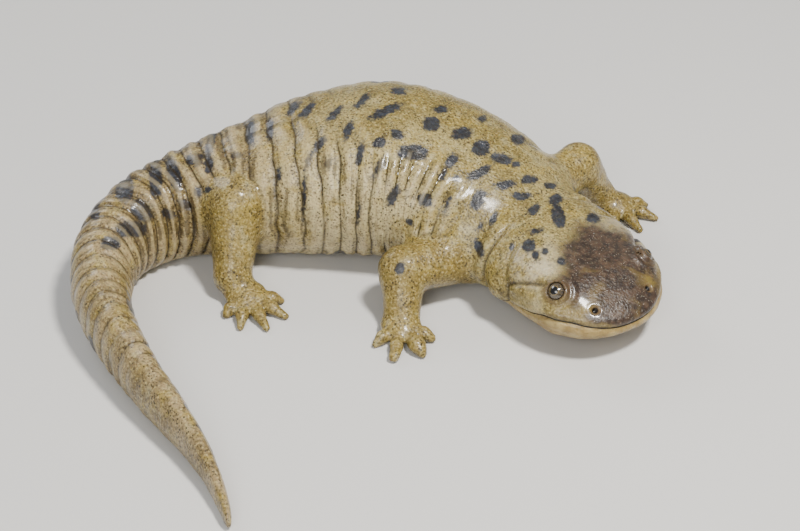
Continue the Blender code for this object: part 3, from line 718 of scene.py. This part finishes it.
def spot_field(points, out, quads, along, trunk):
    """Millimetres from the edge of the nearest dark spot, less than zero inside it. Seen spots are cast
    from the picture on to the skin. The rest are scattered over the hidden sides, drawn out across
    the flanks and tail as the seen ones are."""
    eye, ahead, up = camera_axes()
    pixels = PICTURE[0] / 2 / math.tan(math.radians(VIEW_WIDTH / 2))
    ray = points - eye
    faces_camera = -(ray / sizes(ray)[:, None] * out).sum(1)
    scale = pixels / (ray @ ahead)
    px, py = PICTURE[0] / 2 + ray[:, 0] * scale, PICTURE[1] / 2 - ray @ up * scale
    tree = BVHTree.FromPolygons(points.tolist(), quads.tolist())
    field = np.full(len(points), 4.0)
    centres = []
    for x, y, length, width, slant in SEEN_SPOTS:
        way = ahead * pixels + np.array([x - PICTURE[0] / 2, 0, 0]) + up * (PICTURE[1] / 2 - y)
        hit = tree.ray_cast(Vector(eye), Vector(way / np.linalg.norm(way)))[0]
        if hit is None:
            continue
        hit = np.array(hit)
        scale = pixels / ((hit - eye) @ ahead)
        centres.append(hit)
        close = sizes(points - hit) < length / scale * 1.1 + 3
        near = np.flatnonzero(close & (faces_camera > -0.05))
        dx, dy = px[near] - x, py[near] - y
        c, s = math.cos(math.radians(slant)), -math.sin(math.radians(slant))
        reach = oval((dx * c + dy * s) / (length / 2), (-dx * s + dy * c) / (width / 2))
        field[near] = np.minimum(field[near], (reach - SPOT_EDGE) * width / 2 / scale)
    dice = np.random.default_rng(41)
    hidden = (faces_camera < 0.1) & (points[:, 2] > 3.5) & (trunk > 0.6) & (along > 14) & (along < 178)
    for index in dice.choice(np.flatnonzero(hidden), UNSEEN_TRIES, replace=False):
        here = points[index]
        size = UNSEEN_RADIUS * dice.choice(UNSEEN_SIZES)
        on_tail = eased(along[index], 84, 108)
        room = 2.4 + 3.6 * dice.random() + 1.2 * (1 - on_tail)
        enough = len(centres) > len(SEEN_SPOTS) + UNSEEN_SPOTS
        if enough or min(np.linalg.norm(here - c) for c in centres) < room:
            continue
        centres.append(here)
        angle = on_spine(along[index], ANGLE)
        lengthwise = np.array([math.cos(angle), math.sin(angle), 0])
        lengthwise -= out[index] * (lengthwise @ out[index])
        lengthwise /= np.linalg.norm(lengthwise)
        crosswise = np.cross(out[index], lengthwise)
        steep = 1 - abs(out[index][2])
        near = np.flatnonzero((sizes(points - here) < 6) & ((out @ out[index]) > 0.1))
        d = points[near] - here
        half = size * (1 - 0.15 * steep), size * (1 + steep * dice.uniform(0.3, 1.2))
        reach = oval(d @ lengthwise / half[0], d @ crosswise / half[1])
        field[near] = np.minimum(field[near], (reach - 1) * half[0])
    return field


# The dark crown: its rear edge as (side, along), and its lower edge as (along, turn).
CROWN_REAR = ((-10, 9.0), (-6.3, 12.4), (-4, 15.8), (-0.3, 17.9), (2.8, 20.1), (6.5, 17.9), (10.4, 15.6))
CROWN_LOW = ((0, 31), (4, 38), (9, 44), (14, 42))


def crown_mask(points, along, side, turn):
    """1 over the dark crown and snout, fading out behind the eyes and above the lips."""
    rear = read_off(CROWN_REAR, side) + 1.1 * cloud(points, 3.0, 21)
    low = read_off(CROWN_LOW, along) - 8 * eased(side, 2, 6) + 8 * cloud(points, 2.5, 22)
    return eased(along, rear + 4.5, rear - 5.0) * eased(turn, low - 20, low + 16)


def temple_mask(along, turn):
    """1 over the pale skin between the eye and the neck."""
    return bell(along, 16.0, 3.8) * bell(np.radians(turn) * HEAD_GIRTH, 7.6, 3.2)


# Material nodes.


class Socket:
    """A socket of a material that can be used in arithmetic, each step adding its Math node."""

    def __init__(self, maker, socket):
        self.maker = maker
        self.socket = socket

    def math(self, operation, *others):
        return self.maker.node("ShaderNodeMath", {"operation": operation}, dict(enumerate((self, *others))))

    def __add__(self, other):
        return self.math("ADD", other)

    def __mul__(self, other):
        return self.math("MULTIPLY", other)

    def __sub__(self, other):
        return self.math("SUBTRACT", other)

    def __pow__(self, other):
        return self.math("POWER", other)

    def clamp(self):
        return self.math("MINIMUM", 1.0).math("MAXIMUM", 0.0)

    def fade(self, start, end):
        """0 at start and 1 at end, eased between. start may be the larger."""
        low, high = (start, end) if start < end else (end, start)
        ends = (0.0, 1.0) if start < end else (1.0, 0.0)
        values = {"Value": self, "From Min": low, "From Max": high, "To Min": ends[0], "To Max": ends[1]}
        return self.maker.node("ShaderNodeMapRange", {"interpolation_type": "SMOOTHSTEP"}, values)


class Finish:
    """A material with a Principled surface, and the few ways its nodes are made."""

    def __init__(self, name):
        self.material = bpy.data.materials.new(name)
        self.material.use_nodes = True
        self.tree = self.material.node_tree
        self.surface = self.tree.nodes["Principled BSDF"]
        self.place = self.node("ShaderNodeTexCoord", output="Object")

    def feed(self, slot, value):
        if isinstance(value, Socket):
            self.tree.links.new(value.socket, slot)
        else:
            slot.default_value = value

    def node(self, kind, settings=None, inputs=None, output=0):
        """Adds a node of a kind, with its settings first and then the values or links of its sockets."""
        made = self.tree.nodes.new(kind)
        for key, value in (settings or {}).items():
            setattr(made, key, value)
        for key, value in (inputs or {}).items():
            self.feed(made.inputs[key], value)
        return Socket(self, made.outputs[output])

    def value(self, name):
        """A value that the mesh carries at its vertices."""
        return self.node("ShaderNodeAttribute", {"attribute_name": name}, output="Fac")

    def mix(self, share, first, second):
        """A colour between two, each a socket or its screen values. A Mix node has them as 0, 6 and 7."""
        first, second = (c if isinstance(c, Socket) else tint(*c) for c in (first, second))
        return self.node("ShaderNodeMix", {"data_type": "RGBA"}, {0: share, 6: first, 7: second}, 2)

    def layered(self, colour, *layers):
        """A colour with others laid over it in turn, each given as (how much, the colour)."""
        for share, over in layers:
            colour = self.mix(share, colour, over)
        return colour

    def noise(self, size, detail=2.0, rough=0.5, at=None, distortion=0.0):
        """Cloudy noise from 0 to 1 whose patches are about size millimetres across."""
        inputs = {
            "Vector": at or self.place, "Scale": 1 / (size * MM), "Detail": detail,
            "Roughness": rough, "Distortion": distortion,
        }
        return self.node("ShaderNodeTexNoise", None, inputs, "Fac")

    def cells(self, size, feature="F1"):
        """Distance to the nearest of scattered points about size millimetres apart, in units of that."""
        inputs = {"Vector": self.place, "Scale": 1 / (size * MM)}
        return self.node("ShaderNodeTexVoronoi", {"feature": feature}, inputs, "Distance")

    def relief(self, height, depth, normal=None):
        """A bump of depth millimetres for a height from 0 to 1."""
        inputs = {"Height": height, "Distance": depth * MM, "Strength": 1.0}
        if normal:
            inputs["Normal"] = normal
        return self.node("ShaderNodeBump", None, inputs, "Normal")

    def set(self, sockets):
        for key, value in sockets.items():
            self.feed(self.surface.inputs[key], value)


def tint(red, green, blue):
    """A colour from its screen values, 0 to 255."""
    linear = [((c / 255 + 0.055) / 1.055) ** 2.4 if c > 10 else c / 3294 for c in (red, green, blue)]
    return (*linear, 1.0)


def skin_finish():
    """Damp olive skin: clouded and stippled ground, slate spots, dark crown with painted glints, cream jaw,
    painted shade in grooves, creases, the mouth line, nostrils and lid rims, and painted sheen on ridges and
    flank streaks.
    """
    f = Finish("damp_skin")
    along, turn, trunk = f.value("along"), f.value("turn"), f.value("trunk")
    nostril, lid, temple = f.value("nostril"), f.value("lid"), f.value("temple")
    round_body = f.node("ShaderNodeCombineXYZ", None, {0: along * MM, 1: turn * (0.05 * MM)})
    broad, middle, fine = f.noise(9, 3), f.noise(2.2, 4, 0.6), f.noise(0.42, 3, 0.6)
    streaks = f.noise(1.1, 3, 0.6, at=round_body)
    rear = along.fade(64, 98) * trunk
    flank = turn.fade(66, 24) * along.fade(34, 50) * along.fade(92, 74) * trunk
    stipple = f.cells(0.62).fade(0.34, 0.2) * f.noise(3.1).fade(0.38, 0.56)
    ground = f.layered(
        f.mix(broad.fade(0.35, 0.65), (122, 106, 54), (148, 133, 84)),
        (rear * 0.7, f.mix(broad.fade(0.4, 0.6), (118, 98, 66), (150, 128, 94))),
        (flank * 0.8, (190, 174, 130)),
        ((trunk * -1.0 + 1.0) * 0.7, (124, 104, 46)),
        (f.noise(4.2, 3, 0.6, distortion=0.4).fade(0.5, 0.66) * 0.7, (146, 126, 58)),
        (middle.fade(0.53, 0.68) * 0.5, (162, 152, 112)),
        (middle.fade(0.47, 0.32) * 0.55, (78, 64, 30)),
        # Flank streaks: partly the skin's own streaky tone, partly painted sheen on the raised streaks and
        # painted shade in the low ones.
        (streaks.fade(0.54, 0.7) * flank * 0.6, (206, 192, 144)),
        (streaks.fade(0.46, 0.3) * flank * 0.5, (102, 84, 46)),
        (fine.fade(0.53, 0.66) * 0.5, (196, 180, 126)),
        (fine.fade(0.48, 0.34) * 0.75, (56, 46, 24)),
        (stipple * 0.85, (36, 28, 16)),
        (turn.fade(-32, -62) * trunk * 0.75, (168, 156, 118)),
    )

    cheek = lid.fade(8.5, 3.5) * broad.fade(0.35, 0.6) * along.fade(7.5, 10.5)
    muzzle = along.fade(9.5, 5.5) * turn.fade(52, 28)
    crown = (f.value("crown") + (middle - 0.5) * 0.8 + (fine - 0.5) * 0.5).fade(0.12, 0.88)
    dark = f.layered(
        f.mix(f.noise(1.4, 4).fade(0.35, 0.7), (34, 23, 21), (70, 52, 40)),
        (f.noise(4.0, 3, distortion=0.5).fade(0.52, 0.68) * 0.6, (98, 80, 40)),
        (fine.fade(0.55, 0.7) * 0.5, (112, 96, 80)),
    )
    # Painted glints: tiny pale specks over the crown that stand in for highlights on its wet granules.
    painted_glints = f.cells(0.5).fade(0.22, 0.1) * f.noise(1.8).fade(0.42, 0.6)
    spot = f.value("spot") + (f.noise(1.3, 2) - 0.5) * 0.9 + (f.noise(0.45, 2) - 0.5) * 0.5
    spot = spot.fade(0.34, -0.14)
    slate = f.mix(f.noise(1.2, 3).fade(0.35, 0.7), (24, 26, 33), (46, 51, 62))
    slate = f.mix(fine.fade(0.56, 0.72) * 0.35, slate, (98, 96, 86))
    cream = f.mix(f.noise(1.6, 3).fade(0.35, 0.65), (138, 114, 64), (168, 146, 94))
    ridge = (f.value("count") * math.pi).math("SINE").math("ABSOLUTE")
    amount = f.value("fold").fade(0.1, 0.6)
    # Painted shade in the troughs between the folds, following the same count as their relief.
    groove = (ridge * -1.0 + 1.0).fade(0.58, 0.98) * amount
    line = f.value("mouth").math("ABSOLUTE").fade(0.2, 0.08)
    colour = f.layered(
        ground,
        (temple * middle.fade(0.34, 0.56) * 0.6, (182, 172, 148)),
        ((temple * f.noise(0.9, 3).fade(0.6, 0.66)).clamp() * 0.9, (40, 30, 24)),
        (cheek * 0.5, (184, 172, 140)),
        (muzzle * 0.6, (108, 91, 54)),
        (crown * 0.96, dark),
        # painted glints over the crown
        (crown * painted_glints * 0.55, (186, 176, 160)),
        (f.value("olive") * middle.fade(0.3, 0.5) * 0.8, (138, 118, 46)),
        (spot * 0.95, slate),
        (f.value("jaw") * 0.95, cream),
        # painted shade in the fold troughs
        (groove * 0.8, (50, 40, 22)),
        # lighter fold ridges: partly their own paler tone, partly painted sheen
        (ridge.fade(0.75, 0.98) * amount * 0.25, (192, 174, 130)),
        # painted shade in the troughs of the finer folds
        (f.value("finer").fade(0.18, 0.42) * 0.6, (60, 48, 26)),
        # painted shade along the cheek groove, the neck crease and the throat fold
        (f.value("groove").fade(0.6, 0.08) * 0.65, (48, 38, 24)),
        # painted shade in the crease of the mouth line
        (line * 0.95, (26, 18, 14)),
        (nostril.fade(1.1, 0.75) * nostril.fade(0.5, 0.7) * 0.45, (128, 104, 66)),
        # Painted shade: the nostril's opening painted near black.
        (nostril.fade(0.56, 0.42), (8, 5, 4)),
        (lid.fade(2.8, 1.9) * middle.fade(0.35, 0.5) * 0.7, (88, 70, 46)),
        # painted shade at the lids' inner rim, where they meet the eye
        (lid.fade(1.7, 1.45) * 0.7, (58, 45, 31)),
    )

    normal = f.relief(f.cells(0.42, "SMOOTH_F1") * -1.0 + f.noise(0.22, 2) * 0.5, 0.09)
    normal = f.relief(f.noise(1.1, 3, 0.6) * (crown * -0.6 + 1.0), 0.2, normal)
    normal = f.relief(streaks * flank, 0.35, normal)
    normal = f.relief((ridge ** 0.5) * amount, 0.4, normal)
    normal = f.relief(line * -1.0, 0.14, normal)
    f.set({
        "Base Color": colour, "Normal": normal,
        "Roughness": f.noise(1.7, 3) * 0.34 + 0.24 + spot * -0.04,
        "Coat Weight": (f.noise(5, 2).fade(0.35, 0.7) * 0.45 + 0.2 + crown * 0.3).clamp(),
        "Coat Roughness": 0.12, "Coat IOR": 1.36, "IOR": 1.4,
        "Subsurface Weight": 0.05, "Subsurface Scale": 0.001,
    })
    return f.material


def eye_finish():
    """A wet dark eye: black round pupil, thin gold ring, mottled iris and painted shade at its rim where
    the lids meet it, under a clear coat. Its values are degrees from the pupil's middle and radians round
    it."""
    f = Finish("wet_eye")
    polar, around = f.value("polar"), f.value("around")
    spread = f.node("ShaderNodeCombineXYZ", None, {0: around * 2.4, 1: polar * 0.1, 2: 0.0})
    streak = f.node("ShaderNodeTexNoise", None, {"Vector": spread, "Scale": 2.6, "Detail": 4.0}, "Fac")
    colour = f.layered(
        f.mix(streak.fade(0.42, 0.6), (26, 21, 16), (106, 90, 60)),
        (f.noise(0.3, 3).fade(0.46, 0.6) * 0.7, (60, 58, 58)),
        (polar.fade(25.5, 24.0) * polar.fade(22.0, 23.0) * 0.7, (158, 130, 72)),
        # painted shade on the eyeball's edge where the lids overhang it
        (polar.fade(42, 52) * 0.7, (44, 36, 29)),
        (polar.fade(23.0, 21.5), (4, 4, 6)),
    )
    f.set({
        "Base Color": colour, "Roughness": 0.16, "Coat Weight": 1.0, "Coat Roughness": 0.02,
        "Specular IOR Level": 0.6,
    })
    return f.material


def studio_finish():
    f = Finish("pale_floor")
    f.set({"Base Color": (0.62, 0.61, 0.59, 1), "Roughness": 0.75})
    return f.material


# Settings, operators and panel.

EYE_SPOKES = 48  # faces round an eye
CORNEA_SPREAD = 26.0  # degrees from the pupil's middle to where the cornea stands a third as proud
FLOOR_REACH = 900.0
FLOOR_DROP = 0.02  # keeps the floor just under the soles
# Lamps: (name, place in metres, width in metres, share of the key power, colour).
LAMPS = (
    ("key", (0.16, -0.13, 0.45), 0.08, 1.0, (1.0, 0.97, 0.92)),
    ("rim", (-0.30, 0.32, 0.30), 0.24, 0.22, (0.94, 0.97, 1.0)),
    ("front", (-0.10, -0.45, 0.32), 0.30, 0.42, (1.0, 1.0, 1.0)),
)


class SkinSettings(bpy.types.PropertyGroup):
    head_mesh: FloatProperty(
        name="Head mesh", description="Size of the skin's faces on the head",
        default=0.35 * MM, unit="LENGTH",
    )
    body_mesh: FloatProperty(
        name="Body mesh", description="Size of the skin's faces behind the head",
        default=0.60 * MM, unit="LENGTH",
    )


class EyeSettings(bpy.types.PropertyGroup):
    cornea: FloatProperty(
        name="Cornea", description="How far the cornea stands proud",
        default=0.16 * MM, unit="LENGTH",
    )
    rings: IntProperty(
        name="Rings", description="Rings of faces from the pupil to the back", default=44, min=12,
    )


class StageSettings(bpy.types.PropertyGroup):
    key_power: FloatProperty(
        name="Key power", description="Power of the main soft light", default=3.7, unit="POWER",
    )
    fill: FloatProperty(
        name="Fill", description="Strength of the even light from all round", default=0.32,
    )
    sky: FloatVectorProperty(
        name="Sky", description="Colour of the even light", default=(0.95, 0.97, 1.0), subtype="COLOR",
    )


class SALAMANDER_OT_skin(bpy.types.Operator):
    """Make the one seamless skin with its folds and markings"""

    bl_idname = "salamander.skin"
    bl_label = "Make Skin"

    def execute(self, context):
        settings = context.scene.salamander_skin
        points, quads, out, along = skin_mesh(settings.head_mesh / MM, settings.body_mesh / MM)
        points, carried = folded(points, out, along)
        along, side = spine_coordinates(points, along)
        carried["spot"] = spot_field(points, out, quads, along, carried["trunk"])
        carried["crown"] = crown_mask(points, along, side, carried["turn"])
        carried["temple"] = temple_mask(along, carried["turn"])
        skin = mesh_object("skin", points, quads.tolist(), carried)
        skin.data.materials.append(skin_finish())
        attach(skin, "root")
        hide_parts(*[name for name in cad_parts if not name.startswith("eye")])
        return {"FINISHED"}


class SALAMANDER_OT_eyes(bpy.types.Operator):
    """Make the two eyes in their lids"""

    bl_idname = "salamander.eyes"
    bl_label = "Make Eyes"

    def execute(self, context):
        settings = context.scene.salamander_eyes
        finish = eye_finish()
        for sign, eye, gaze in EYES:
            forwards, up = eye_axes(sign, gaze)
            polar = np.linspace(0, np.pi, settings.rings)[1:-1]
            around = np.linspace(0, 2 * np.pi, EYE_SPOKES, endpoint=False)
            polar, around = np.meshgrid(polar, around, indexing="ij")
            cornea = settings.cornea / MM
            radius = EYE_RADIUS + cornea * bell(np.degrees(polar), 0, CORNEA_SPREAD)
            turned = np.cos(around)[..., None] * forwards + np.sin(around)[..., None] * up
            shape = np.cos(polar)[..., None] * gaze + np.sin(polar)[..., None] * turned
            poles = (EYE_RADIUS + cornea) * gaze, -EYE_RADIUS * gaze
            points = eye + np.concatenate([(radius[..., None] * shape).reshape(-1, 3), poles])
            rows, columns = polar.shape
            j = np.arange(columns)
            round_on = (j + 1) % columns
            ring = np.arange(rows - 1)[:, None] * columns
            a, b = ring + j, ring + round_on
            quads = np.stack([a, a + columns, b + columns, b], -1).reshape(-1, 4)
            front, back = rows * columns, rows * columns + 1
            last = (rows - 1) * columns
            caps = np.concatenate([
                np.stack([np.full(columns, front), j, round_on], 1),
                np.stack([np.full(columns, back), last + round_on, last + j], 1),
            ])
            faces = quads.tolist() + caps.tolist()
            carried = {
                "polar": np.concatenate([np.degrees(polar).ravel(), [0, 180]]),
                "around": np.concatenate([np.abs(around - np.pi).ravel(), [0, 0]]),
            }
            name = "eyeball_" + ("left" if sign > 0 else "right")
            ball = mesh_object(name, points, faces, carried)
            ball.data.materials.append(finish)
            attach(ball, "root")
            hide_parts("eye_left" if sign > 0 else "eye_right")
        return {"FINISHED"}


class SALAMANDER_OT_stage(bpy.types.Operator):
    """Make the pale floor, the soft lights and the camera"""

    bl_idname = "salamander.stage"
    bl_label = "Make Stage"

    def execute(self, context):
        settings = context.scene.salamander_stage
        r = FLOOR_REACH
        corners = np.array([(x, y, -FLOOR_DROP) for x, y in ((-r, -r), (r, -r), (r, r), (-r, r))])
        floor = mesh_object("floor", corners, [(0, 1, 2, 3)], {})
        floor.data.materials.append(studio_finish())
        world = bpy.data.worlds.new("studio")
        context.scene.world = world
        world.use_nodes = True
        background = world.node_tree.nodes["Background"].inputs
        background["Color"].default_value = (*settings.sky, 1)
        background["Strength"].default_value = settings.fill
        for name, spot, size, share, colour in LAMPS:
            light = bpy.data.lights.new(name, "AREA")
            light.shape = "DISK"
            light.size, light.energy, light.color = size, settings.key_power * share, colour
            lamp = linked(name, light)
            lamp.location = spot
            lamp.rotation_euler = (-Vector(spot)).to_track_quat("-Z", "Y").to_euler()
        stand, _, _ = camera_axes()
        data = bpy.data.cameras.new("camera")
        data.sensor_width = 36
        data.lens = 18 / math.tan(math.radians(VIEW_WIDTH / 2))
        camera = linked("camera", data)
        camera.location = stand * MM
        camera.rotation_euler = (math.radians(90 - VIEW_ELEVATION), 0, 0)
        context.scene.camera = camera
        return {"FINISHED"}


class SALAMANDER_PT_panel(bpy.types.Panel):
    """Settings and steps, in the order they are run"""

    bl_label = "Tiger Salamander"
    bl_space_type = "VIEW_3D"
    bl_region_type = "UI"
    bl_category = "Salamander"

    def draw(self, context):
        for group, _, operator in STEPS:
            box = self.layout.box()
            settings = getattr(context.scene, group)
            for name in settings.__annotations__:
                box.prop(settings, name)
            box.operator(operator.bl_idname)


STEPS = (
    ("salamander_skin", SkinSettings, SALAMANDER_OT_skin),
    ("salamander_eyes", EyeSettings, SALAMANDER_OT_eyes),
    ("salamander_stage", StageSettings, SALAMANDER_OT_stage),
)
CLASSES = [item for _, *pair in STEPS for item in pair] + [SALAMANDER_PT_panel]


def register():
    for item in CLASSES:
        bpy.utils.register_class(item)
    for name, group, _ in STEPS:
        setattr(bpy.types.Scene, name, PointerProperty(type=group))


def unregister():
    for name, *_ in STEPS:
        delattr(bpy.types.Scene, name)
    for item in reversed(CLASSES):
        bpy.utils.unregister_class(item)


def main():
    """Registers the add-on and makes every piece in order."""
    register()
    bpy.ops.salamander.skin()
    bpy.ops.salamander.eyes()
    bpy.ops.salamander.stage()


if __name__ == "__main__":
    main()
